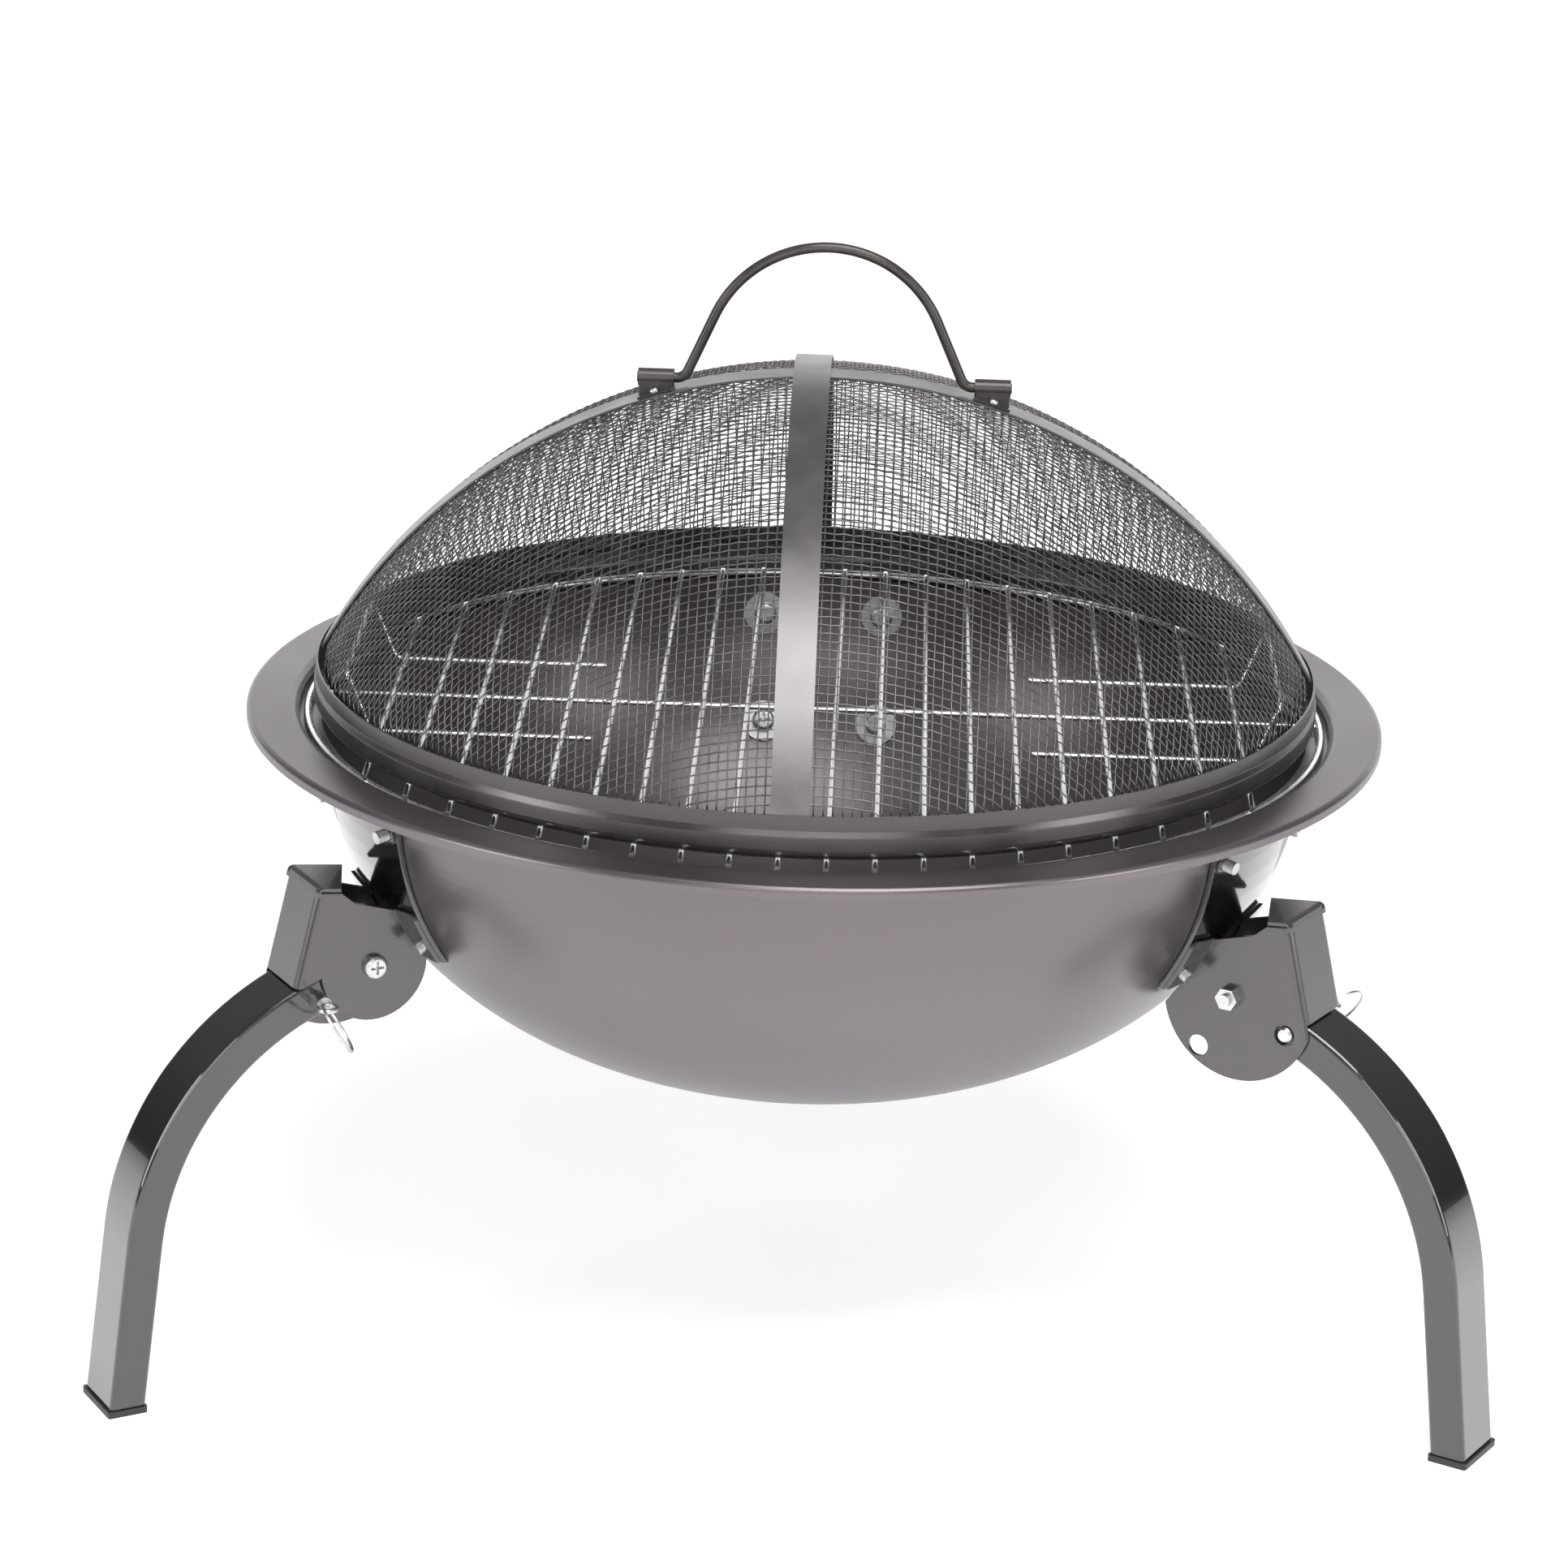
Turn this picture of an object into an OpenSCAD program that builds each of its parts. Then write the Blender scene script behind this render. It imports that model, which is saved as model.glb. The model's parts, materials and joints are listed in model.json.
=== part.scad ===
// Portable fire pit: a steel bowl on three folding legs, with a wire grate and a woven spark screen.
// Millimetres. The origin is on the floor under the bowl's centre, +Z is up, and the pit's front faces -Y.

/* [Fire bowl] */
// Outside diameter over the flat rim
rim_d = 560; // [556:1:564]
// Height of the rim's top face above the floor
rim_h = 307; // [305:0.5:309]
// Radius of the bowl's body just below the rim
body_r = 245; // [244.5:0.1:245.5]
// Depth of the bowl below the rim's top face
bowl_depth = 187; // [186:0.5:188]
// Roundness of the bowl: 2 is an ellipse, and a larger number is squarer
bowl_power = 2.15; // [2.1:0.01:2.2]
// Thickness of the bowl's sheet steel
sheet = 1.5; // [1.2:0.1:1.6]

/* [Legs] */
// Width of a leg tube across the leg
leg_w = 33.4; // [32.5:0.1:33.5]
// Depth of a leg tube in the plane that it bends in
leg_d = 18; // [17:0.1:18.2]
// Wall thickness of a leg tube
leg_wall = 1.5; // [1.2:0.1:2]
// Slope of the upper end of a leg below horizontal, in degrees
leg_slope = 24; // [23.5:0.1:24.5]
// Bend radius of a leg's centre line
leg_bend_r = 138; // [137:0.5:139]

/* [Leg brackets] */
// Width of the hinge box over its cheeks
box_w = 38; // [37.8:0.1:38.4]
// Sheet thickness of the hinge box
box_t = 2; // [1.8:0.1:2]
// Thickness of the curved backing plate
plate_t = 2.5; // [2:0.1:2.6]
// Distance of the lock pin from the pivot
lock_reach = 32; // [31.8:0.1:32.2]
// Turn of a leg between its two locked places, in degrees
fold_turn = 95; // [94:0.5:96]

/* [Grate] */
// Wire diameter of the grate's ring
ring_wire = 4; // [3.6:0.1:4.2]
// Wire diameter of the bars
bar_wire = 2.8; // [2.6:0.1:3]
// Spacing of the long bars
bar_pitch = 21.95; // [21.8:0.05:22]
// Number of long bars on each side of the centre
bars_per_side = 10; // [8:1:10]

/* [Spark screen] */
// Height of the top of the dome above the rim
dome_h = 165.5; // [165:0.5:167]
// Width of the two straps over the dome
strap_w = 18; // [16:0.5:18]
// Wire diameter of the handle
handle_wire = 5; // [4.8:0.1:5]

/* [Hidden] */
$fn = 72;
gap = 0.3;
steel_black = [0.10, 0.10, 0.11];
graphite = [0.20, 0.19, 0.20];
dark_grey = [0.33, 0.32, 0.33];
bright = [0.78, 0.78, 0.80];
rubber_black = [0.05, 0.05, 0.05];

// Straights run this far inside a bend, and bends are this much thicker
join_in = 0.3;
join_grow = 0.04;

// Legs: left front, right front and back
leg_names = ["left", "right", "back"];
leg_turns = [210, 330, 90];
roof_hands = [1, -1, 1];
leg_parts = ["bracket_plate", "hinge_box", "bracket_screws", "bracket_washers", "pivot_screw",
    "pivot_nut", "leg_tube", "foot_cap", "lock_pin", "lock_pin_tip", "lock_spring", "pull_ring"];

// Rim: the shoulder is rounded, a ledge under it carries the grate, and the edge turns down
wall_r = 254;
shoulder_r = 4.5;
ledge_z = -7.3;
edge_r = 2.5;
edge_drop = 5.5;

// Bracket plate and its screws, placed on the outside of the bowl
plate_out = gap + plate_t;
plate_top = -12;
plate_bottom = -95;
plate_half_top = 38.5;
plate_half_bottom = 34.5;
screw_d = 6;
screw_hole_d = 6.6;
thread_hole_d = 6.12;
upper_screw = [32, -25.6];
lower_screw = [31, -82.2];
washer_d = 22;
washer_t = 1.2;
washer_lift = 0.8;
head_d = 12;
head_h = 3.8;
upper_tip = 10.8;
lower_tip = 9;
collar_d = 11;
collar_h = 2;

// Hinge box: places are measured from the pivot, [outward, up]
pivot_r = 246;
pivot_z = -96.5;
web_top = [28, 43];
web_foot = [41, -8.2];
web_end_z = -6.3;
web_lean = atan2(web_foot.x - web_top.x, web_top.y - web_foot.y);
lobe_r = 39;
lobe_centre = [4, -2];
open_lobe_r = 27.2;
roof_fall = 8;
flange_half = 36.5;
lock_hole_d = 10.4;
running = 0.05;
pivot_tip = 7.5;
nut_af = 10;
nut_h = 5;

// Leg tube: a straight, a bend and a straight down to the floor
leg_back = 12;
leg_straight = 39;
leg_corner_r = 2.2;
foot_slope = 83;
foot_straight = 92;
cap_flange = 3.2;
cap_size = [20, 35.4];
cap_corner_r = 1.5;
cap_spigot = 18;

// Lock pin and its pull ring
pin_d = 7.8;
pin_bore_d = 8;
pin_seat = -leg_w / 2 + 0.1;
tip_end = -19.8;
pin_collar_d = 11;
pin_collar_t = 2;
eye_out = 31;
eye_r = 4.2;
eye_wire = 2.4;
ring_r = 13;
ring_wire_d = 2;
ring_droop = 27;
ring_twist = 37;
spring_d = 11.5;
spring_bore = 8.6;

// Grate: the ring stands on the bowl's ledge, and the bars lie on the ring
ring_centre_r = 250;
grate_ring_z = ledge_z + gap + ring_wire / 2;
weld_gap = 0.05;
bar_z = grate_ring_z + ring_wire / 2 + bar_wire / 2 + weld_gap;
cross_z = bar_z - bar_wire - weld_gap;
bar_overhang = 2.5;
side_bar_y = 61;
side_bar_in = 107;
side_bar_out = 214;
lift_rise = 30;
lift_out = 12;
lift_bend_r = 6;

// Spark screen: its ring rests on the bars
screen_z = bar_z + bar_wire / 2 + gap;
ring_sheet = 1;
ring_foot_r = 241;
bead_r = 247;
bead_low = 3.5;
bead_high = 12;
band_r = 246;
band_low = 15;
band_top = 22;
mesh_t = 1.2;
mesh_foot_r = 242.2;
mesh_foot_z = 15.5;
dome_rise = dome_h - band_top;
dome_r = (mesh_foot_r * mesh_foot_r + dome_rise * dome_rise) / (2 * dome_rise);
dome_z = dome_h - dome_r;
strap_t = 1;
strap_foot_z = band_top - 1;
strap_shift = -6;

// Screen handle and its two clips
hinge_z = 161.8;
arch_r = 59;
arch_z = 169.5;
arch_half = 66;
handle_bend_r = 6;
handle_end = 91;
clip_in = 73;
clip_len = 17.5;
clip_d = 8.6;
clip_x = clip_in + clip_len / 2;
clip_foot_t = 1.2;
clip_screw_d = 3;
clip_screw_y = -6.6;
clip_tilt = asin(clip_x / (dome_r + gap + strap_t));
clip_seat = dome_r + 2 * gap + strap_t;

// ---- Outlines and curves ----

function reversed(list) = [for (i = [len(list) - 1:-1:0]) list[i]];

function unit(v) = v / norm(v);

// Points of an arc from angle a0 to a1, in n steps
function arc(centre, r, a0, a1, n) =
    [for (i = [0:n]) let (a = a0 + (a1 - a0) * i / n) centre + r * [cos(a), sin(a)]];

// Points that round the corner p, which lies between the corners a and b
function round_corner(p, a, b, r, n) =
    let (
        u = unit(a - p),
        v = unit(b - p),
        half = acos(u * v) / 2,
        cut = r / tan(half),
        centre = p + unit(u + v) * r / sin(half),
        from = p + u * cut - centre,
        to = p + v * cut - centre,
        start = atan2(from.y, from.x),
        sweep = (atan2(to.y, to.x) - start + 540) % 360 - 180
    )
    arc(centre, r, start, start + sweep, n);

// Outline through corners [x, y, r], each rounded to its own radius r
function rounded(corners, n = 5) =
    let (m = len(corners), flat = [for (c = corners) [c.x, c.y]])
    [for (i = [0:m - 1])
        each corners[i].z > 0
            ? round_corner(flat[i], flat[(i + m - 1) % m], flat[(i + 1) % m], corners[i].z, n)
            : [flat[i]]];

function rounded_box(w, h, r) =
    rounded([[-w / 2, -h / 2, r], [w / 2, -h / 2, r], [w / 2, h / 2, r], [-w / 2, h / 2, r]], 4);

// The bowl's wall is a superellipse, here grown outward by some distance
function wall_turn(z, grow) = asin(min(1, pow(-z / (bowl_depth + grow), bowl_power / 2)));

function wall_point(turn, grow) =
    [(body_r + grow) * pow(cos(turn), 2 / bowl_power), -(bowl_depth + grow) * pow(sin(turn), 2 / bowl_power)];

function wall_curve(grow, z0, z1, n) =
    let (from = wall_turn(z0, grow), to = wall_turn(z1, grow))
    [for (i = [0:n]) wall_point(from + (to - from) * i / n, grow)];

function wall_radius(z) = wall_point(wall_turn(z, 0), 0).x;

// Slope of the wall's outward normal below horizontal
function wall_tilt(z) =
    atan2(pow(-z / bowl_depth, bowl_power - 1) / bowl_depth, pow(wall_radius(z) / body_r, bowl_power - 1) / body_r);

// ---- Placing and wire work ----

// Faces a leg's side of the pit, so that +X is outward and +Y is across the leg
module at_leg(turn) {
    rotate([0, 0, turn]) children();
}

module at_pivot(turn) {
    at_leg(turn) translate([pivot_r, 0, rim_h + pivot_z]) children();
}

// Stands children on the outside of the bowl, with their +Z pointing out square to the wall
module on_wall(place) {
    r = wall_radius(place.y);
    rotate([0, 0, asin(place.x / r)])
        translate([r, 0, rim_h + place.y]) rotate([0, 90 + wall_tilt(place.y), 0]) children();
}

module at_each_screw() {
    for (side = [-1, 1]) {
        on_wall([side * upper_screw.x, upper_screw.y]) children();
        on_wall([side * lower_screw.x, lower_screw.y]) children();
    }
}

// Extrudes an [outward, up] outline across the leg from y0 to y1
module across(y0, y1) {
    translate([0, y1, 0]) rotate([90, 0, 0]) linear_extrude(y1 - y0) children();
}

module rod(a, b, d) {
    v = b - a;
    translate(a) rotate([0, acos(v.z / norm(v)), atan2(v.y, v.x)]) cylinder(h = norm(v), d = d);
}

// Where a bend of radius r starts, measured back from the corner p
function bend_cut(p, a, b, r) = r / tan(acos(unit(a - p) * unit(b - p)) / 2);

// The bend of a wire at the corner p, between the corners a and b
module bend(p, a, b, r, d) {
    u = unit(a - p);
    v = unit(b - p);
    half = acos(u * v) / 2;
    centre = p + unit(u + v) * r / sin(half);
    x = unit(p + u * r / tan(half) - centre);
    z = cross(x, -u);
    multmatrix([[x.x, -u.x, z.x, centre.x], [x.y, -u.y, z.y, centre.y], [x.z, -u.z, z.z, centre.z]])
        rotate_extrude(angle = 180 - 2 * half) translate([r, 0]) circle(d = d);
}

// A wire of diameter d through the points, with every corner bent to radius r. The straights run a
// little way inside the bends, which are a hair thicker, so that the two join cleanly.
module wire(points, r, d) {
    last = len(points) - 1;
    cut = [for (i = [0:last])
        i == 0 || i == last ? 0 : bend_cut(points[i], points[i - 1], points[i + 1], r) - join_in];
    for (i = [0:last - 1]) {
        along = unit(points[i + 1] - points[i]);
        rod(points[i] + along * cut[i], points[i + 1] - along * cut[i + 1], d);
    }
    for (i = [1:last - 1]) bend(points[i], points[i - 1], points[i + 1], r, d + join_grow);
}

// Pan-head screw: its head's underside is at z = 0, and its shank runs to z = length
module pan_screw(d, length, head, height) {
    slot = head * 0.11;
    difference() {
        union() {
            cylinder(h = length, d = d);
            rotate([180, 0, 0]) rotate_extrude() polygon(concat(
                [[0, 0], [head / 2, 0], [head / 2, height * 0.4]],
                arc([head / 2 - height * 0.6, height * 0.4], height * 0.6, 30, 90, 4),
                [[0, height]]));
        }
        for (a = [0, 90]) rotate([0, 0, a]) translate([-head * 0.28, -slot / 2, -height - 1])
            cube([head * 0.56, slot, height * 0.5 + 1]);
    }
}

// ---- Bowl and brackets ----

module fire_bowl() {
    rim_r = rim_d / 2;
    color(graphite) difference() {
        translate([0, 0, rim_h]) rotate_extrude($fn = 144) polygon(concat(
            wall_curve(0, ledge_z - sheet, -bowl_depth, 60),
            reversed(wall_curve(-sheet, ledge_z, sheet - bowl_depth, 60)),
            [[wall_r, ledge_z]],
            arc([wall_r + shoulder_r, -shoulder_r], shoulder_r, 180, 90, 9),
            arc([rim_r - edge_r, -edge_r], edge_r, 90, 0, 6),
            [[rim_r, -edge_drop], [rim_r - sheet, -edge_drop], [rim_r - sheet, -edge_r], [rim_r - edge_r, -sheet]],
            arc([wall_r + shoulder_r, -shoulder_r], shoulder_r - sheet, 90, 180, 4),
            [[wall_r + sheet, ledge_z - sheet]]));
        for (turn = leg_turns) at_leg(turn) at_each_screw()
            translate([0, 0, -4 * sheet]) cylinder(h = 8 * sheet, d = screw_hole_d);
    }
}

// Part of a shell around the bowl, between two distances from its wall
module wall_shell(inner, outer, z0, z1, spread) {
    translate([0, 0, rim_h]) rotate([0, 0, -spread / 2]) rotate_extrude(angle = spread, $fn = 144)
        polygon(concat(wall_curve(outer, z0, z1, 9), reversed(wall_curve(inner, z0, z1, 9))));
}

// Keeps what lies inside an outline seen from outside, [across, up from the rim]
module seen_from_outside() {
    translate([body_r / 2, 0, rim_h]) rotate([90, 0, 90]) linear_extrude(body_r) children();
}

module bracket_plate(turn) {
    color(steel_black) at_leg(turn) {
        difference() {
            intersection() {
                wall_shell(gap, plate_out, plate_top + 1, plate_bottom - 1, 24);
                seen_from_outside() polygon(rounded([
                    [-plate_half_bottom, plate_bottom, 2], [plate_half_bottom, plate_bottom, 2],
                    [plate_half_top, plate_top, 6], [-plate_half_top, plate_top, 6]]));
            }
            at_each_screw() cylinder(h = 3 * plate_out, d = screw_hole_d, center = true);
        }
        for (side = [-1, 1]) on_wall([side * upper_screw.x, upper_screw.y]) difference() {
            translate([0, 0, plate_out - 0.5]) cylinder(h = collar_h + 0.5, d = collar_d);
            cylinder(h = 10 * collar_h, d = thread_hole_d, center = true);
        }
    }
}

// The cheeks' common upper outline, from the web inward past the plate
function cheek_top() = [[45, web_top.y - 1], [web_top.x, web_top.y - 1], [17, 39], [10, 33], [-14, 25.5], [-40, 17.4]];

module locking_cheek() {
    polygon(concat(cheek_top(), arc(lobe_centre, lobe_r, 180, 360, 30), [[45, lobe_centre.y]]));
}

module open_cheek() {
    polygon(concat(cheek_top(), [[-40, 6]], arc([0, 0], open_lobe_r, 175, 355, 24),
        [[36, web_end_z], [45, web_end_z]]));
}

// The folded channel that makes the web and both cheeks, still uncut
module hinge_channel() {
    half = box_w / 2;
    translate([web_foot.x, 0, web_foot.y]) rotate([0, -web_lean, 0]) translate([0, 0, -70])
        linear_extrude(140) polygon(rounded([
            [-95, -half, 0], [0, -half, 2 * box_t], [0, half, 2 * box_t], [-95, half, 0],
            [-95, half - box_t, 0], [-box_t, half - box_t, box_t],
            [-box_t, box_t - half, box_t], [-95, box_t - half, 0]]));
}

// The flap folded inward from the web's top. Its inner edge is cut at a slant, and hand says which way.
module roof(hand) {
    half = box_w / 2;
    intersection() {
        across(-half, half) polygon(rounded([
            [29.3, 38, 0], [web_top.x, web_top.y, 3], [-4, 38.5, 0],
            [-4, 36.5, 0], [25.5, 40.6, 1], [26.8, 38, 0]]));
        mirror([0, hand < 0 ? 1 : 0, 0]) linear_extrude(2 * web_top.y)
            polygon([[-3, -26], [45, -26], [45, 26], [20.2, 26]]);
    }
}

function lock_place(turn) = lock_reach * [cos(-leg_slope - turn), 0, sin(-leg_slope - turn)];

module hinge_box(turn, hand) {
    half = box_w / 2;
    flange_in = plate_out + gap;
    color(steel_black) {
        at_pivot(turn) difference() {
            union() {
                intersection() {
                    hinge_channel();
                    union() {
                        across(-half, 0) locking_cheek();
                        across(0, half) open_cheek();
                    }
                }
                roof(hand);
            }
            translate([-pivot_r, 0, -pivot_z]) rotate_extrude($fn = 144)
                polygon(concat([[0, 0]], wall_curve(flange_in + box_t / 4, -2, -170, 14), [[0, -170]]));
            translate([25, box_t - half, -60]) cube([40, box_w - 2 * box_t, 60 + web_end_z]);
            across(-half - 1, half + 1) circle(d = screw_d + 2 * running);
            for (fold = [0, fold_turn]) translate(lock_place(fold)) across(-half - 1, 0) circle(d = lock_hole_d);
            for (side = [-1, 1]) translate([22.3, side * half, 40]) rotate([0, -roof_fall, 0])
                cube([10, 5, 0.9], center = true);
        }
        at_leg(turn) for (side = [-1, 1]) difference() {
            intersection() {
                wall_shell(flange_in, flange_in + box_t, -55, -100, 24);
                seen_from_outside() translate([0, pivot_z]) mirror([side < 0 ? 1 : 0, 0]) polygon(rounded([
                    [half - box_t, 3, 0], [flange_half, 3, 1.5], [flange_half, 30, 3], [half - box_t, 27, 0]]));
            }
            on_wall([side * lower_screw.x, lower_screw.y])
                cylinder(h = 40, d = thread_hole_d, center = true);
        }
    }
}

// ---- Fasteners of a bracket ----

module bracket_screws(turn) {
    head_z = -sheet - washer_lift - washer_t - 0.05;
    color(bright) at_leg(turn) for (side = [-1, 1]) {
        on_wall([side * upper_screw.x, upper_screw.y]) translate([0, 0, head_z])
            pan_screw(screw_d, upper_tip - head_z, head_d, head_h);
        on_wall([side * lower_screw.x, lower_screw.y]) translate([0, 0, head_z])
            pan_screw(screw_d, lower_tip - head_z, head_d, head_h);
    }
}

module bracket_washers(turn) {
    color(bright) at_leg(turn) at_each_screw() translate([0, 0, -sheet - washer_lift - washer_t]) difference() {
        cylinder(h = washer_t, d = washer_d);
        cylinder(h = 3 * washer_t, d = screw_hole_d, center = true);
    }
}

module pivot_screw(turn) {
    head_y = box_w / 2 + weld_gap;
    color(bright) at_pivot(turn) translate([0, head_y, 0]) rotate([90, 0, 0])
        pan_screw(screw_d, head_y + box_w / 2 + pivot_tip, head_d, head_h);
}

module pivot_nut(turn) {
    color(bright) at_pivot(turn) translate([0, -box_w / 2 - weld_gap, 0]) rotate([90, 0, 0]) difference() {
        cylinder(h = nut_h, d = nut_af / cos(30), $fn = 6);
        cylinder(h = 3 * nut_h, d = screw_d + 2 * running, center = true);
    }
}

// ---- Legs ----

// Carries children from the pivot frame into a leg's upper straight, with +X along it
module along_leg() {
    rotate([0, leg_slope, 0]) children();
}

// A leg's path with a section of the given size
module leg_path(w, d, r) {
    start = leg_straight * [cos(leg_slope), -sin(leg_slope)];
    centre = start - leg_bend_r * [sin(leg_slope), cos(leg_slope)];
    bend_end = centre + leg_bend_r * [sin(foot_slope), cos(foot_slope)];
    along_leg() translate([-leg_back, 0, 0]) rotate([0, 90, 0])
        linear_extrude(leg_straight + leg_back + join_in) polygon(rounded_box(d, w, r));
    translate([centre.x, 0, centre.y]) rotate([90, 0, 0]) rotate([0, 0, 90 - foot_slope])
        rotate_extrude(angle = foot_slope - leg_slope, $fn = 144)
            translate([leg_bend_r, 0]) polygon(rounded_box(d + join_grow, w + join_grow, r));
    translate([bend_end.x, 0, bend_end.y]) rotate([0, foot_slope, 0]) translate([-join_in, 0, 0])
        rotate([0, 90, 0]) linear_extrude(foot_straight) polygon(rounded_box(d, w, r));
}

// Where a leg's centre line meets the floor, [outward, up] from the pivot
function foot_place() =
    let (
        floor_z = -rim_h - pivot_z,
        centre = leg_straight * [cos(leg_slope), -sin(leg_slope)] - leg_bend_r * [sin(leg_slope), cos(leg_slope)],
        bend_end = centre + leg_bend_r * [sin(foot_slope), cos(foot_slope)]
    )
    [bend_end.x + (bend_end.y - floor_z) / tan(foot_slope), floor_z];

module leg_tube(turn) {
    floor_z = foot_place().y;
    color(steel_black) at_pivot(turn) difference() {
        leg_path(leg_w, leg_d, leg_corner_r);
        leg_path(leg_w - 2 * leg_wall, leg_d - 2 * leg_wall, leg_corner_r - leg_wall + 0.3);
        along_leg() translate([-leg_back - 1, 0, 0]) rotate([0, 90, 0])
            linear_extrude(2) polygon(rounded_box(leg_d - 2 * leg_wall, leg_w - 2 * leg_wall, 1));
        translate([80, -leg_w, floor_z - 30]) cube([80, 2 * leg_w, 30 + cap_flange + gap]);
        across(-leg_w, leg_w) circle(d = screw_d + 2 * running);
        translate(lock_place(0)) across(-leg_w, leg_w) circle(d = pin_bore_d);
    }
}

module foot_cap(turn) {
    foot = foot_place();
    spigot = [leg_d, leg_w] - 2 * (leg_wall + gap) * [1, 1];
    color(rubber_black) at_pivot(turn) translate([foot.x, 0, foot.y]) {
        linear_extrude(cap_flange) polygon(rounded_box(cap_size.x, cap_size.y, cap_corner_r));
        intersection() {
            rotate([0, foot_slope - 90, 0]) linear_extrude(cap_spigot) polygon(rounded_box(spigot.x, spigot.y, 1));
            translate([-20, -20, cap_flange / 2]) cube(40);
        }
    }
}

// ---- Lock pin of a leg ----

module at_lock(turn) {
    at_pivot(turn) translate(lock_place(0)) rotate([-90, 0, 0]) children();
}

module lock_pin(turn) {
    color(bright) {
        at_lock(turn) {
            translate([0, 0, pin_seat]) cylinder(h = eye_out - eye_r - pin_seat, d = pin_d);
            translate([0, 0, leg_wall - leg_w / 2 + gap]) cylinder(h = pin_collar_t, d = pin_collar_d);
        }
        at_pivot(turn) translate(lock_place(0) + [0, eye_out, 0]) rotate_extrude()
            translate([eye_r, 0]) circle(d = eye_wire);
    }
}

module lock_pin_tip(turn) {
    shank = 2;
    color(bright) at_lock(turn) {
        translate([0, 0, pin_seat - shank - weld_gap]) cylinder(h = shank, d = pin_d);
        translate([0, 0, tip_end]) cylinder(h = pin_seat - shank - weld_gap - tip_end, d1 = pin_d - 2, d2 = pin_d);
    }
}

module lock_spring(turn) {
    from = leg_wall - leg_w / 2 + 2 * gap + pin_collar_t;
    to = leg_w / 2 - leg_wall - gap;
    color(bright) at_lock(turn) translate([0, 0, from]) difference() {
        cylinder(h = to - from, d = spring_d);
        translate([0, 0, -1]) cylinder(h = to - from + 2, d = spring_bore);
    }
}

module pull_ring(turn) {
    color(bright) at_pivot(turn)
        translate(lock_place(0) + [0, eye_out, 0]) rotate([-ring_droop, 0, 0]) rotate([0, ring_twist, 0])
            translate([0, ring_r, 0]) rotate([0, 90, 0]) rotate_extrude()
                translate([ring_r, 0]) circle(d = ring_wire_d);
}

// ---- Grate ----

module grate_ring() {
    color(bright) translate([0, 0, rim_h + grate_ring_z]) rotate_extrude($fn = 144)
        translate([ring_centre_r, 0]) circle(d = ring_wire);
}

module grate_long_bars() {
    color(bright) for (side = [-1, 1]) for (i = [0:bars_per_side - 1]) {
        x = side * (i + 0.5) * bar_pitch;
        half = sqrt(ring_centre_r * ring_centre_r - x * x) + bar_overhang;
        rod([x, -half, rim_h + bar_z], [x, half, rim_h + bar_z], bar_wire);
    }
}

module grate_cross_bar() {
    half = ring_centre_r - ring_wire / 2 - weld_gap;
    color(bright) rod([-half, 0, rim_h + cross_z], [half, 0, rim_h + cross_z], bar_wire);
}

// Two short cross bars and the loop that rises outward between them
module grate_handle(side) {
    low = rim_h + cross_z;
    high = low + lift_rise;
    color(bright) wire([
        [side * side_bar_in, -side_bar_y, low], [side * side_bar_out, -side_bar_y, low],
        [side * (side_bar_out + lift_out), -side_bar_y, high], [side * (side_bar_out + lift_out), side_bar_y, high],
        [side * side_bar_out, side_bar_y, low], [side * side_bar_in, side_bar_y, low]], lift_bend_r, bar_wire);
}

// ---- Spark screen ----

// The dome's arc from its foot to its top, moved in or out by some distance
function dome_arc(grow, foot_z, n) =
    arc([0, dome_z], dome_r + grow, asin((foot_z - dome_z) / (dome_r + grow)), 90, n);

module clip_screw_holes(d) {
    for (side = [-1, 1]) at_clip(side) translate([0, clip_screw_y, 0]) cylinder(h = 20, d = d, center = true);
}

module screen_mesh() {
    color(dark_grey) difference() {
        translate([0, 0, rim_h]) rotate_extrude($fn = 144) polygon(concat(
            [[mesh_foot_r, mesh_foot_z]], dome_arc(0, band_top, 24),
            reversed(dome_arc(-mesh_t, band_top, 24)), [[mesh_foot_r - mesh_t, mesh_foot_z]]));
        clip_screw_holes(clip_screw_d + 1);
    }
}

module screen_ring() {
    color(dark_grey) translate([0, 0, rim_h]) rotate_extrude($fn = 144) polygon(rounded([
        [ring_foot_r, screen_z, 0], [bead_r, bead_low, 4], [bead_r, bead_high, 3], [band_r, band_low, 2],
        [band_r, band_top, 0], [band_r - ring_sheet, band_top, 0], [band_r - ring_sheet, band_low, 1],
        [bead_r - ring_sheet, bead_high, 2], [bead_r - ring_sheet, bead_low + 0.3, 3],
        [ring_foot_r, screen_z + ring_sheet * 1.2, 0]]));
}

// A flat strap bent over the dome, whose inside is at height top over the centre, and at radius
// foot_r where it dips inside the ring's band
module strap(top, foot_r) {
    rise = top - band_top;
    r = (foot_r * foot_r + rise * rise) / (2 * rise);
    foot = asin((strap_foot_z - top + r) / r);
    translate([0, 0, rim_h + top - r]) rotate([90, 0, 0]) rotate([0, 0, foot])
        rotate_extrude(angle = 180 - 2 * foot, $fn = 144)
            translate([r, -strap_w / 2]) square([strap_t, strap_w]);
}

module screen_strap_side() {
    color(dark_grey) difference() {
        strap(dome_h + gap, mesh_foot_r + 0.5);
        clip_screw_holes(clip_screw_d + 0.4);
    }
}

module screen_strap_front_back() {
    color(dark_grey) translate([strap_shift, 0, 0]) rotate([0, 0, 90])
        strap(dome_h + 2 * gap + strap_t, mesh_foot_r + 0.3);
}

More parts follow.
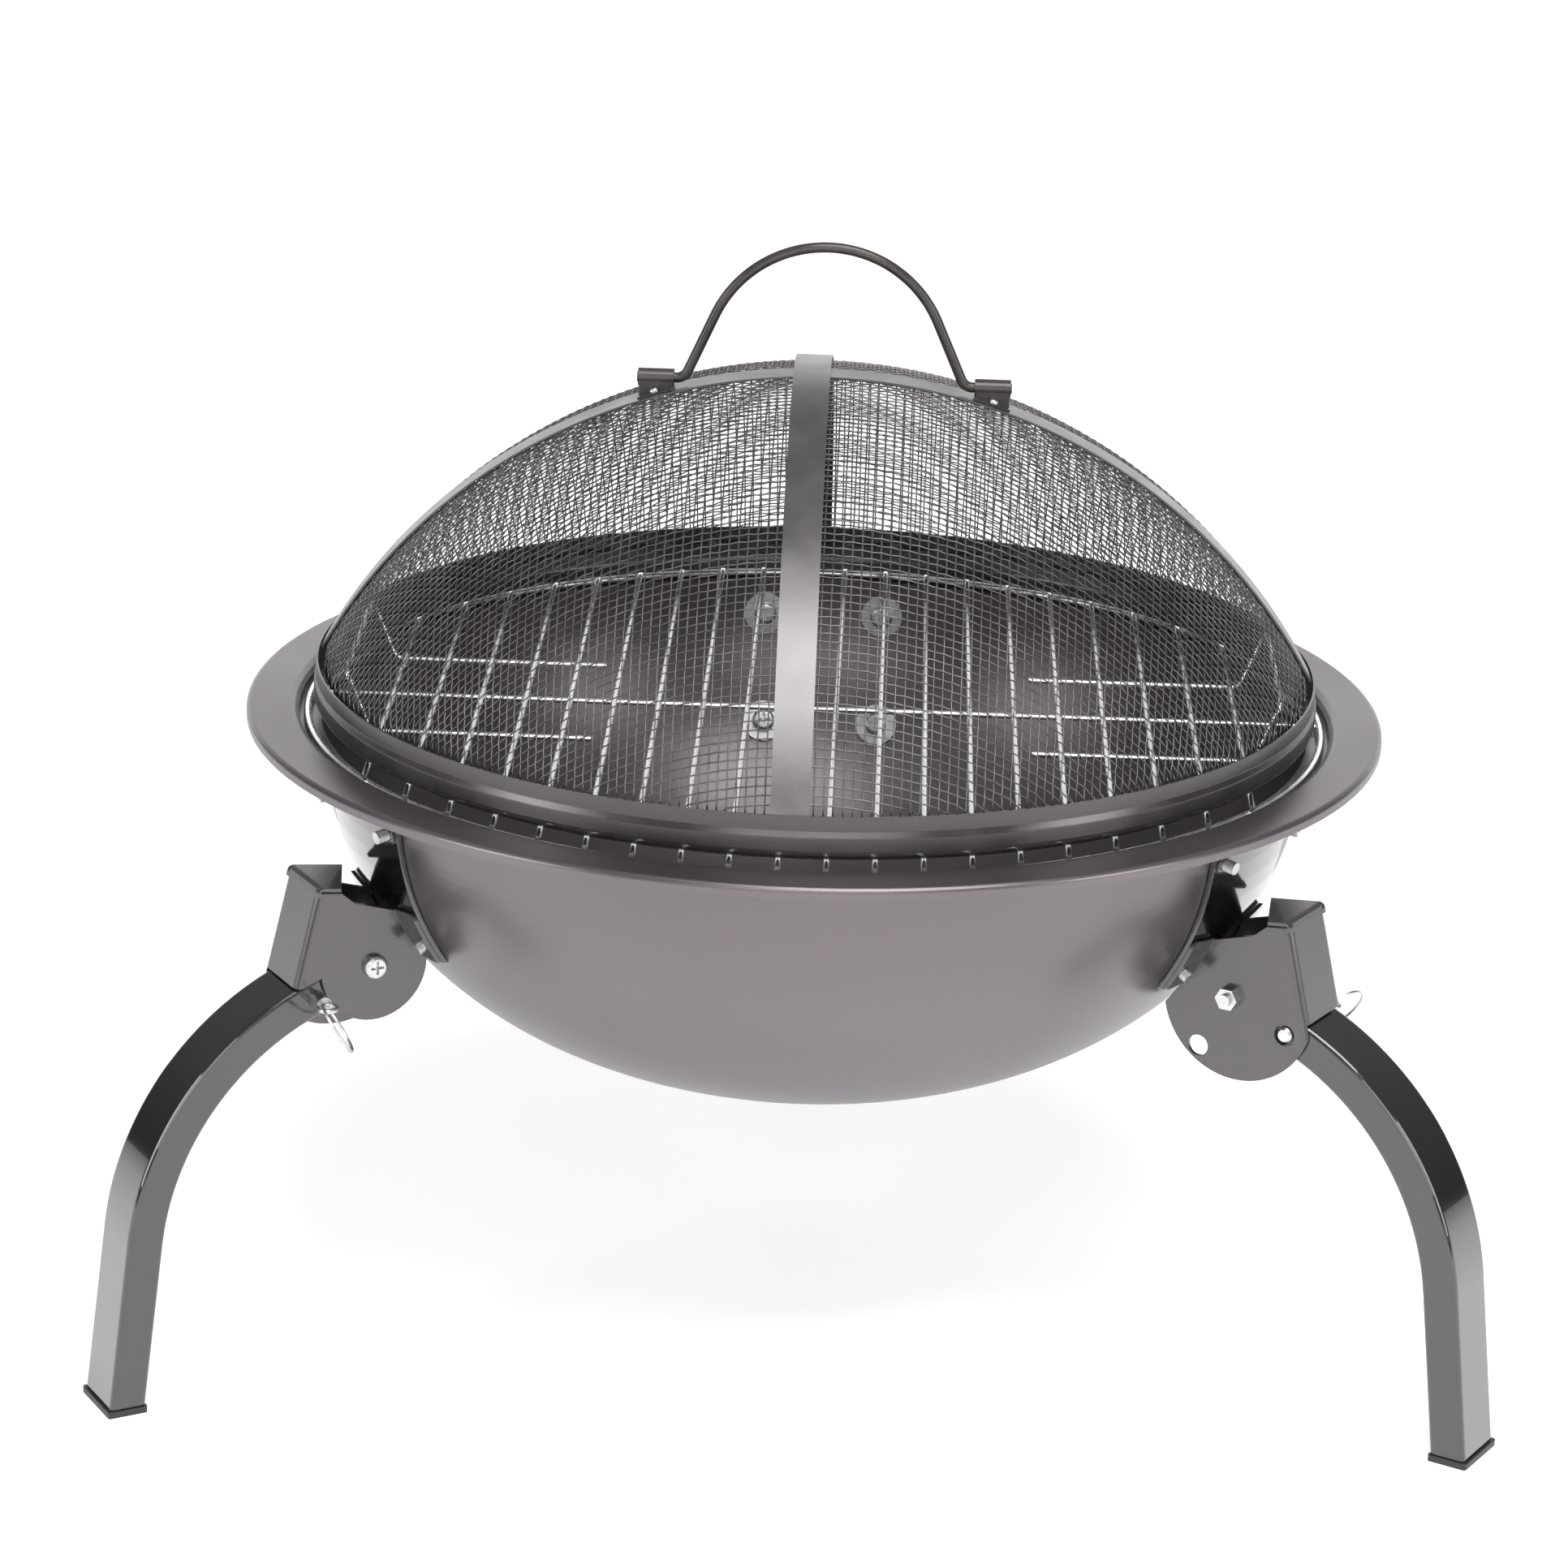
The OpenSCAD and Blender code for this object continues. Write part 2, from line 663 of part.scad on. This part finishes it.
module screen_handle() {
    side = [arch_r * sin(arch_half), arch_z + arch_r * cos(arch_half)];
    corner_x = side.x + (side.y - hinge_z) / tan(arch_half);
    color(steel_black) translate([0, 0, rim_h]) {
        translate([0, 0, arch_z]) rotate([90, 0, 0]) rotate([0, 0, 90 - arch_half])
            rotate_extrude(angle = 2 * arch_half, $fn = 144)
                translate([arch_r, 0]) circle(d = handle_wire + join_grow);
        for (way = [-1, 1]) wire([
            [way * (side.x - join_in * cos(arch_half)), 0, side.y + join_in * sin(arch_half)],
            [way * corner_x, 0, hinge_z], [way * handle_end, 0, hinge_z]],
            handle_bend_r, handle_wire);
    }
}

// Stands children on the side strap under a clip, with +Z square to the dome
module at_clip(side) {
    translate([0, 0, rim_h + dome_z]) rotate([0, side * clip_tilt, 0]) translate([0, 0, clip_seat]) children();
}

module handle_clip(side) {
    bore = handle_wire + 2 * running + 0.08;
    color(steel_black) difference() {
        union() {
            translate([side * clip_x, 0, rim_h + hinge_z]) rotate([0, 90, 0])
                cylinder(h = clip_len, d = clip_d, center = true);
            at_clip(side) translate([-clip_len / 2, -strap_w / 2, 0]) cube([clip_len, strap_w, clip_foot_t]);
            intersection() {
                at_clip(side) translate([-clip_len, 0.2 - clip_d / 2, 0.2]) cube([2 * clip_len, clip_foot_t, 8]);
                translate([side * clip_x, 0, rim_h + hinge_z - 5]) cube([clip_len - 1, 20, 9], center = true);
            }
        }
        translate([side * clip_x, 0, rim_h + hinge_z]) rotate([0, 90, 0])
            cylinder(h = 2 * clip_len, d = bore, center = true);
        clip_screw_holes(clip_screw_d + 0.2);
    }
}

module handle_clip_screws() {
    below = 2 * gap + strap_t + mesh_t + 3.4;
    color(bright) for (side = [-1, 1]) at_clip(side)
        translate([0, clip_screw_y, clip_foot_t + weld_gap]) rotate([180, 0, 0])
            pan_screw(clip_screw_d, clip_foot_t + below, 4.4, 2);
}

module handle_clip_nuts() {
    nut = 2.4;
    color(bright) for (side = [-1, 1]) at_clip(side)
        translate([0, clip_screw_y, -3 * gap - strap_t - mesh_t - nut]) difference() {
            cylinder(h = nut, d = 5.5 / cos(30), $fn = 6);
            cylinder(h = 3 * nut, d = clip_screw_d + 2 * running, center = true);
        }
}

fire_bowl();
grate_ring();
grate_long_bars();
grate_cross_bar();
grate_handle(-1);  // grate_handle_left
grate_handle(1);  // grate_handle_right
screen_mesh();
screen_ring();
screen_strap_front_back();
screen_strap_side();
screen_handle();
handle_clip(-1);  // handle_clip_left
handle_clip(1);  // handle_clip_right
handle_clip_screws();
handle_clip_nuts();
for (i = [0:2]) {
    side = leg_names[i];
    turn = leg_turns[i];
    bracket_plate(turn);
    hinge_box(turn, roof_hands[i]);
    bracket_screws(turn);
    bracket_washers(turn);
    pivot_screw(turn);
    pivot_nut(turn);
    leg_tube(turn);
    foot_cap(turn);
    lock_pin(turn);
    lock_pin_tip(turn);
    lock_spring(turn);
    pull_ring(turn);
}
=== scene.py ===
"""Looks of the portable fire pit: materials, woven spark screen, small hardware, floor, lights and camera."""

import json
from math import asin, atan2, cos, pi, radians, sin, sqrt

import bpy
import numpy as np
from mathutils import Matrix, Vector

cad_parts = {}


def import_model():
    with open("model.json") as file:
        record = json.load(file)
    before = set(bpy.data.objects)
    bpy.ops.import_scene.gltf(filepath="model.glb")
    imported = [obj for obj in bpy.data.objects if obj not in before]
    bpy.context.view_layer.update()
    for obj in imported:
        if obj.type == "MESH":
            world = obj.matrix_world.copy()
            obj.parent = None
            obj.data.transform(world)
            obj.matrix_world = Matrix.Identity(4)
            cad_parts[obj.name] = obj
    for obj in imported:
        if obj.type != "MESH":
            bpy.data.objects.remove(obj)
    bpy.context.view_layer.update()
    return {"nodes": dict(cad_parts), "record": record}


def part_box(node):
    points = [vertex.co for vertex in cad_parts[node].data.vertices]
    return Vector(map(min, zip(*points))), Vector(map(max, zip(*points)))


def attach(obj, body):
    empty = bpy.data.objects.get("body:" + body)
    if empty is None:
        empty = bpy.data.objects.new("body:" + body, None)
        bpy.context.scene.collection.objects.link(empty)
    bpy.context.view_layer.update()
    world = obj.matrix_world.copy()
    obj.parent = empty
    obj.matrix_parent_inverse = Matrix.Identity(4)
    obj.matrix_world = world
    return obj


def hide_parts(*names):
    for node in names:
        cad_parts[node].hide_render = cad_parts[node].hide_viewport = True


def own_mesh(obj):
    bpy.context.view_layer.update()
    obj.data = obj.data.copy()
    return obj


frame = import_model()

SIDES = {"left": radians(210), "right": radians(330), "back": radians(90)}
rim_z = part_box("fire_bowl")[1].z


# ---- Materials ----

def new_material(name):
    """A node material, its node tree and its Principled shader."""
    mat = bpy.data.materials.new(name)
    mat.use_nodes = True
    tree = mat.node_tree
    shader = tree.nodes["Principled BSDF"]
    return mat, tree, shader


def noise(tree, scale, detail):
    """Object-space noise, finer with a larger scale."""
    coords = tree.nodes.new("ShaderNodeTexCoord")
    tex = tree.nodes.new("ShaderNodeTexNoise")
    tex.inputs["Scale"].default_value = scale
    tex.inputs["Detail"].default_value = detail
    tree.links.new(coords.outputs["Object"], tex.inputs["Vector"])
    return tex.outputs["Fac"]


def remap(tree, value, low, high, start=0.3, end=0.7):
    """A value spread from the range start to end onto the range low to high."""
    node = tree.nodes.new("ShaderNodeMapRange")
    node.inputs["From Min"].default_value = start
    node.inputs["From Max"].default_value = end
    node.inputs["To Min"].default_value = low
    node.inputs["To Max"].default_value = high
    tree.links.new(value, node.inputs["Value"])
    return node.outputs["Result"]


def two_tone(tree, value, first, second, start=0.3, end=0.7):
    """A colour that runs from the first to the second as the value goes from start to end."""
    ramp = tree.nodes.new("ShaderNodeValToRGB")
    ramp.color_ramp.elements[0].position = start
    ramp.color_ramp.elements[0].color = (*first, 1)
    ramp.color_ramp.elements[1].position = end
    ramp.color_ramp.elements[1].color = (*second, 1)
    tree.links.new(value, ramp.inputs["Fac"])
    return ramp.outputs["Color"]


def bump(tree, shader, value, strength, depth, edge):
    """A fine relief, on edges that look rounded to the radius given."""
    node = tree.nodes.new("ShaderNodeBump")
    node.inputs["Strength"].default_value = strength
    node.inputs["Distance"].default_value = depth
    tree.links.new(value, node.inputs["Height"])
    if edge:
        bevel = tree.nodes.new("ShaderNodeBevel")
        bevel.samples = 6
        bevel.inputs["Radius"].default_value = edge
        tree.links.new(bevel.outputs["Normal"], node.inputs["Normal"])
    tree.links.new(node.outputs["Normal"], shader.inputs["Normal"])


def surface(name, first, second, rough, metallic=0.0, blotch=18, grain=900, depth=0.0001,
            strength=0.25, coat=0.0, coat_rough=0.05, edge=0.0, ior=1.5, tint=(1, 1, 1)):
    """Paint or plating: two close tones, uneven roughness and a fine grain."""
    mat, tree, shader = new_material(name)
    broad = noise(tree, blotch, 5)
    fine = noise(tree, grain, 3)
    tree.links.new(two_tone(tree, broad, first, second), shader.inputs["Base Color"])
    tree.links.new(remap(tree, broad, *rough), shader.inputs["Roughness"])
    bump(tree, shader, fine, strength, depth, edge)
    shader.inputs["Metallic"].default_value = metallic
    shader.inputs["IOR"].default_value = ior
    shader.inputs["Specular Tint"].default_value = (*tint, 1)
    shader.inputs["Coat Weight"].default_value = coat
    shader.inputs["Coat Roughness"].default_value = coat_rough
    return mat


materials = {
    "bowl_paint": surface("bowl_paint", (0.030, 0.026, 0.029), (0.040, 0.035, 0.039), (0.27, 0.35),
                          blotch=7, grain=1400, strength=0.3, ior=2.1, tint=(1, 0.90, 0.96)),
    "bracket_paint": surface("bracket_paint", (0.020, 0.018, 0.019), (0.032, 0.029, 0.031), (0.20, 0.32),
                             blotch=40, grain=700, strength=0.25, coat=0.5, coat_rough=0.10,
                             edge=0.0006, ior=1.75, tint=(1, 0.93, 0.96)),
    "leg_gloss": surface("leg_gloss", (0.005, 0.0045, 0.005), (0.009, 0.008, 0.009), (0.10, 0.16),
                         blotch=25, grain=260, strength=0.08, coat=1.0, coat_rough=0.03,
                         edge=0.0012, ior=1.6),
    "foot_plastic": surface("foot_plastic", (0.012, 0.012, 0.012), (0.022, 0.022, 0.022), (0.4, 0.55),
                            blotch=60, grain=1500, strength=0.4, edge=0.0008),
    "zinc": surface("zinc", (0.50, 0.50, 0.505), (0.63, 0.63, 0.635), (0.26, 0.40), metallic=1.0,
                    blotch=160, grain=2500, depth=0.00001),
    "grate_chrome": surface("grate_chrome", (0.80, 0.79, 0.80), (0.90, 0.89, 0.90), (0.20, 0.32),
                            metallic=1.0, blotch=120, grain=1800, depth=0.00001),
    "screen_wire": surface("screen_wire", (0.090, 0.082, 0.082), (0.180, 0.168, 0.168), (0.25, 0.40),
                           metallic=0.8, blotch=70, grain=4000, strength=0.1),
    "screen_paint": surface("screen_paint", (0.014, 0.012, 0.013), (0.024, 0.021, 0.023), (0.20, 0.32),
                            blotch=30, grain=1300, strength=0.3, ior=1.75, tint=(1, 0.92, 0.96)),
    "strap_paint": surface("strap_paint", (0.085, 0.078, 0.082), (0.120, 0.110, 0.116), (0.28, 0.40),
                           metallic=0.5, ior=2.0, blotch=45, grain=1600, strength=0.3),
    "handle_paint": surface("handle_paint", (0.034, 0.030, 0.029), (0.060, 0.054, 0.052), (0.24, 0.38),
                            metallic=0.3, blotch=60, grain=1500, strength=0.25),
}


def dress(obj, slot):
    """Gives an object one slot's material, in place of any other."""
    obj.data.materials.clear()
    obj.data.materials.append(materials[slot])


for entry in frame["record"]["subparts"]:
    node = frame["nodes"][entry["node"]]
    dress(node, entry["material_slot"])


# ---- Pieces made here ----

def mesh_piece(name, verts, faces, slot, body):
    """A smooth piece of the object, in a material slot, that rides a body."""
    mesh = bpy.data.meshes.new(name)
    mesh.from_pydata(verts.tolist(), [], faces)
    mesh.update()
    obj = bpy.data.objects.new(name, mesh)
    bpy.context.scene.collection.objects.link(obj)
    dress(obj, slot)
    mesh.polygons.foreach_set("use_smooth", [True] * len(mesh.polygons))
    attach(obj, body)
    return obj


def tube(path, normals, radius, corners):
    """Vertices and faces of a round tube along a path. The normals settle how its sections are turned."""
    tangent = np.gradient(path, axis=0)
    tangent /= np.linalg.norm(tangent, axis=1, keepdims=True)
    side = np.cross(tangent, normals)
    side /= np.linalg.norm(side, axis=1, keepdims=True)
    up = np.cross(side, tangent)
    turns = np.arange(corners) * 2 * pi / corners
    rings = path[:, None] + radius * (np.cos(turns)[None, :, None] * side[:, None]
                                      + np.sin(turns)[None, :, None] * up[:, None])
    verts = rings.reshape(-1, 3)
    count = len(path)
    faces = [(i * corners + k, i * corners + (k + 1) % corners,
              (i + 1) * corners + (k + 1) % corners, (i + 1) * corners + k)
             for i in range(count - 1) for k in range(corners)]
    faces.append(tuple(reversed(range(corners))))
    faces.append(tuple((count - 1) * corners + k for k in range(corners)))
    return verts, faces


class Bundle:
    """Several tubes gathered into one mesh."""

    def __init__(self):
        self.verts = []
        self.faces = []
        self.count = 0

    def add(self, verts, faces):
        self.verts.append(verts)
        self.faces += [tuple(v + self.count for v in f) for f in faces]
        self.count += len(verts)

    def piece(self, name, slot, body):
        return mesh_piece(name, np.concatenate(self.verts), self.faces, slot, body)


# ---- Woven dome ----

# Radius of a wire, distance between wires, and corners of a wire's section
WIRE_R = 0.00036
PITCH = 0.0044
WIRE_CORNERS = 6

# How far a wire leaves the cloth's middle at a crossing, in wire radii
WEAVE = 0.95

# How far the wires run down inside the ring's band
TUCK = 0.004


def dome_net(step, count):
    """Crossings of a square cloth pressed on a unit sphere: every side of every mesh is step long."""
    net = np.zeros((count, count, 3))
    for i in range(count):
        net[i, 0] = (sin(i * step), 0, cos(i * step))
        net[0, i] = (0, sin(i * step), cos(i * step))
    for i in range(1, count):
        for j in range(1, count):
            a, b = net[i, j - 1], net[i - 1, j]
            across = np.cross(a, b)
            middle = cos(step) / (1 + a @ b) * (a + b)
            rest = max(0.0, 1 - middle @ middle)
            offset = across * sqrt(rest) / np.linalg.norm(across)
            one, two = middle + offset, middle - offset
            net[i, j] = one if one @ net[i - 1, j - 1] < two @ net[i - 1, j - 1] else two
    return net


def woven_dome():
    """The screen's cloth: wires that pass over and under each other, laid on a ball and cut at the ring."""
    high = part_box("screen_mesh")[1]
    band_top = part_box("screen_ring")[1].z
    foot_r = high.x
    rise = high.z - band_top
    dome_r = (foot_r ** 2 + rise ** 2) / (2 * rise)
    centre = np.array([0, 0, high.z - dome_r])
    middle_r = dome_r - 2 * WIRE_R
    step = PITCH / middle_r
    reach = int(np.arcsin(foot_r / dome_r) / step) + 2
    net = dome_net(step, reach + 1)
    lowest = (band_top - centre[2]) / middle_r
    tuck = np.array([0, 0, band_top - TUCK])
    bundles = {}

    def crossing(i, j):
        p = net[abs(i), abs(j)]
        return np.array([p[0] * (1 if i >= 0 else -1), p[1] * (1 if j >= 0 else -1), p[2]])

    for family in ("warp", "weft"):
        for i in range(-reach, reach + 1):
            cells = [(i, j) if family == "warp" else (j, i) for j in range(-reach, reach + 1)]
            points = [(crossing(*c), c) for c in cells]
            inside = [k for k, (p, _) in enumerate(points) if p[2] > lowest]
            if len(inside) < 2:
                continue
            lift = 1 if family == "warp" else -1
            path = [centre + p * (middle_r + lift * (-1) ** (c[0] + c[1]) * WIRE_R * WEAVE)
                    for p, c in points[inside[0]:inside[-1] + 1]]
            normals = [p for p, _ in points[inside[0]:inside[-1] + 1]]
            for at, end in ((0, inside[0] - 1), (len(path), inside[-1] + 1)):
                outward = points[min(max(end, 0), len(points) - 1)][0][:2]
                flat = np.array([*outward, 0]) / np.linalg.norm(outward)
                path.insert(at, flat * (foot_r - WIRE_R) + tuck)
                normals.insert(at, flat)
            key = (family, "a" if i < 0 else "b")
            bundles.setdefault(key, Bundle()).add(
                *tube(np.array(path), np.array(normals), WIRE_R, WIRE_CORNERS))
    pieces = [bundle.piece(f"woven_{family}_{half}", "screen_wire", "screen")
              for (family, half), bundle in bundles.items()]
    for piece in pieces:
        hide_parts("screen_mesh")


woven_dome()


# ---- Threads, split rings and lock springs ----

# The bowl's wall is a superellipse
BODY_R = 0.245
BOWL_DEPTH = 0.187
BOWL_POWER = 2.15

# A bracket's screws: distance across the leg, distance below the rim, and the thread's start and end
UPPER_SCREW = (0.032, 0.0256, 0.0052, 0.0104)
LOWER_SCREW = (0.031, 0.0822, 0.0054, 0.0087)
THREAD_R = 0.0029
THREAD_WIRE = 0.00032
THREAD_PITCH = 0.001

# A leg's pivot, and its lock pin's place, as they lie on a leg that points along +X
PIVOT = Vector((0.246, 0, rim_z - 0.0965))
LOCK_REACH = 0.032
LEG_SLOPE = radians(24)
LOCK = PIVOT + Vector((LOCK_REACH * cos(LEG_SLOPE), 0, -LOCK_REACH * sin(LEG_SLOPE)))

# The split ring hangs in the pin's eye
EYE_OUT = 0.031
RING_DROOP = radians(-27)
RING_TWIST = radians(37)
RING_R = 0.013
RING_WIRE = 0.0005
RING_TURNS = 2.12
RING_RISE = 0.00096

# The spring sits round the pin, between its collar and the tube's wall. Places are measured from the lock.
SPRING_START = -0.0118
SPRING_END = 0.0141
SPRING_R = 0.00503
SPRING_WIRE = 0.00065
SPRING_TURNS = 8.5


def wall_place(turn, across, down):
    """Place, and the way out, of a screw on the bowl's outside."""
    low = down / BOWL_DEPTH
    r = BODY_R * (1 - low ** BOWL_POWER) ** (1 / BOWL_POWER)
    tilt = atan2(low ** (BOWL_POWER - 1) / BOWL_DEPTH, (r / BODY_R) ** (BOWL_POWER - 1) / BODY_R)
    a = turn + asin(across / r)
    place = Vector((r * cos(a), r * sin(a), rim_z - down))
    out = Vector((cos(a) * cos(tilt), sin(a) * cos(tilt), -sin(tilt)))
    return place, out


def coil(place, axis, radius, wire, rise, turns, corners=6, steps=28):
    """A helix of round wire that climbs along the axis from the place."""
    x = axis.orthogonal().normalized()
    y = axis.cross(x)
    count = int(turns * steps)
    flat = [x * cos(2 * pi * i / steps) + y * sin(2 * pi * i / steps) for i in range(count + 1)]
    path = np.array([place + v * radius + axis * (rise * i / count) for i, v in enumerate(flat)])
    return tube(path, np.array([list(v) for v in flat]), wire, corners)


def screw_threads(side, turn):
    """The threads on the four screw tips that stand out of a bracket."""
    bundle = Bundle()
    for across, down, start, end in (UPPER_SCREW, LOWER_SCREW):
        turns = (end - start) / THREAD_PITCH
        for way in (-1, 1):
            place, out = wall_place(turn, way * across, down)
            bundle.add(*coil(place + out * start, out, THREAD_R, THREAD_WIRE, end - start, turns))
    bundle.piece(f"screw_threads_{side}", "zinc", "root")


def split_ring(side, turn):
    """A pull ring wound from two turns of wire."""
    stand = (Matrix.Rotation(turn, 4, "Z") @ Matrix.Translation(LOCK + Vector((0, EYE_OUT, 0)))
             @ Matrix.Rotation(RING_DROOP, 4, "X") @ Matrix.Rotation(RING_TWIST, 4, "Y")
             @ Matrix.Translation((0, RING_R, 0)))
    axis = (stand.to_3x3() @ Vector((1, 0, 0))).normalized()
    centre = stand @ Vector((0, 0, 0))
    bundle = Bundle()
    start = centre - axis * RING_RISE / 2
    bundle.add(*coil(start, axis, RING_R, RING_WIRE, RING_RISE, RING_TURNS, corners=10, steps=64))
    ring = bundle.piece(f"split_ring_{side}", "zinc", f"ring_{side}")
    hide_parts(f"pull_ring_{side}")


def lock_spring(side, turn):
    """The coil spring inside a leg, at one fixed length; the real spring shortens as its pin is pulled, but
    this coil does not.
    """
    axis = Matrix.Rotation(turn, 3, "Z") @ Vector((0, 1, 0))
    lock = Matrix.Rotation(turn, 3, "Z") @ LOCK
    rise = SPRING_END - SPRING_START
    bundle = Bundle()
    start = lock + axis * SPRING_START
    bundle.add(*coil(start, axis, SPRING_R, SPRING_WIRE, rise, SPRING_TURNS, corners=8, steps=24))
    spring = bundle.piece(f"coil_spring_{side}", "zinc", f"leg_{side}")
    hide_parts(f"lock_spring_{side}")
    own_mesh(spring)


for side, turn in SIDES.items():
    screw_threads(side, turn)
    split_ring(side, turn)
    lock_spring(side, turn)


# ---- Floor, light and camera ----

def floor():
    """A plain white floor that glows a little, so that it stays white under the object."""
    half = 15
    corners = [(-half, -half, 0), (half, -half, 0), (half, half, 0), (-half, half, 0)]
    mesh = bpy.data.meshes.new("floor")
    mesh.from_pydata(corners, [], [(0, 1, 2, 3)])
    obj = bpy.data.objects.new("floor", mesh)
    bpy.context.scene.collection.objects.link(obj)
    mat, tree, shader = new_material("floor")
    tone = noise(tree, 3, 2)
    tree.links.new(two_tone(tree, tone, (0.93, 0.93, 0.93), (0.95, 0.95, 0.95)), shader.inputs["Base Color"])
    tree.links.new(remap(tree, tone, 0.55, 0.6), shader.inputs["Roughness"])
    shader.inputs["Emission Color"].default_value = (1, 1, 1, 1)
    shader.inputs["Emission Strength"].default_value = 0.45
    mesh.materials.append(mat)


def area_light(name, place, target, size, power, shape=(1, 1)):
    light = bpy.data.lights.new(name, "AREA")
    light.shape = "RECTANGLE"
    light.size = size * shape[0]
    light.size_y = size * shape[1]
    light.energy = power
    obj = bpy.data.objects.new(name, light)
    obj.location = place
    obj.rotation_euler = (Vector(target) - Vector(place)).to_track_quat("-Z", "Y").to_euler()
    obj.visible_camera = False
    bpy.context.scene.collection.objects.link(obj)


def world():
    """A dim studio that is brighter overhead, and plain white where the camera sees it."""
    sky = bpy.data.worlds.new("studio")
    sky.use_nodes = True
    tree = sky.node_tree
    background = tree.nodes["Background"]
    background.inputs["Color"].default_value = (1, 0.985, 0.985, 1)
    coords = tree.nodes.new("ShaderNodeTexCoord")
    split = tree.nodes.new("ShaderNodeSeparateXYZ")
    tree.links.new(coords.outputs["Generated"], split.inputs["Vector"])
    overhead = remap(tree, split.outputs["Z"], low=0.06, high=0.32, start=0.0, end=0.8)
    light_path = tree.nodes.new("ShaderNodeLightPath")
    brighter = tree.nodes.new("ShaderNodeMath")
    brighter.operation = "MAXIMUM"
    tree.links.new(overhead, brighter.inputs[0])
    tree.links.new(light_path.outputs["Is Camera Ray"], brighter.inputs[1])
    tree.links.new(brighter.outputs["Value"], background.inputs["Strength"])
    bpy.context.scene.world = sky


def camera():
    """The photograph's view: 17.3 degrees down from 2.5 m, and rolled a little."""
    elevation, turn, roll = radians(17.27), radians(0.8), radians(1.68)
    distance, focal = 2.5, 115.8
    target = Matrix.Rotation(turn, 3, "Z") @ Vector((-0.0139, 0, 0))
    target.z = rim_z - 0.044
    place = Matrix.Rotation(turn, 3, "Z") @ Vector((0, -distance * cos(elevation), 0))
    place.z = rim_z + distance * sin(elevation)
    data = bpy.data.cameras.new("camera")
    data.lens = focal
    data.sensor_width = 36
    data.clip_end = 100
    obj = bpy.data.objects.new("camera", data)
    look = (target - place).normalized()
    right = look.cross(Vector((0, 0, 1))).normalized()
    up = right.cross(look)
    x = right * cos(roll) + up * sin(roll)
    y = up * cos(roll) - right * sin(roll)
    obj.matrix_world = Matrix(((x.x, y.x, -look.x, place.x), (x.y, y.y, -look.y, place.y),
                               (x.z, y.z, -look.z, place.z), (0, 0, 0, 1)))
    bpy.context.scene.collection.objects.link(obj)
    bpy.context.scene.camera = obj


floor()
world()
area_light("overhead", (0.4, -1.1, 2.6), (0, 0, 0.2), 1.5, 62)
area_light("backdrop", (0, 5.2, 1.3), (0, 0, 1.0), 9.0, 110, (1, 0.3))
area_light("front_box", (0.1, -3.1, 1.15), (0, 0, 0.2), 2.0, 30, (1.1, 0.7))
area_light("left_box", (-2.3, -1.3, 1.1), (0, 0, 0.2), 1.7, 30, (0.6, 1))
area_light("right_box", (2.3, -1.3, 1.1), (0, 0, 0.2), 1.7, 26, (0.6, 1))
camera()
bpy.context.scene.view_settings.view_transform = "Standard"
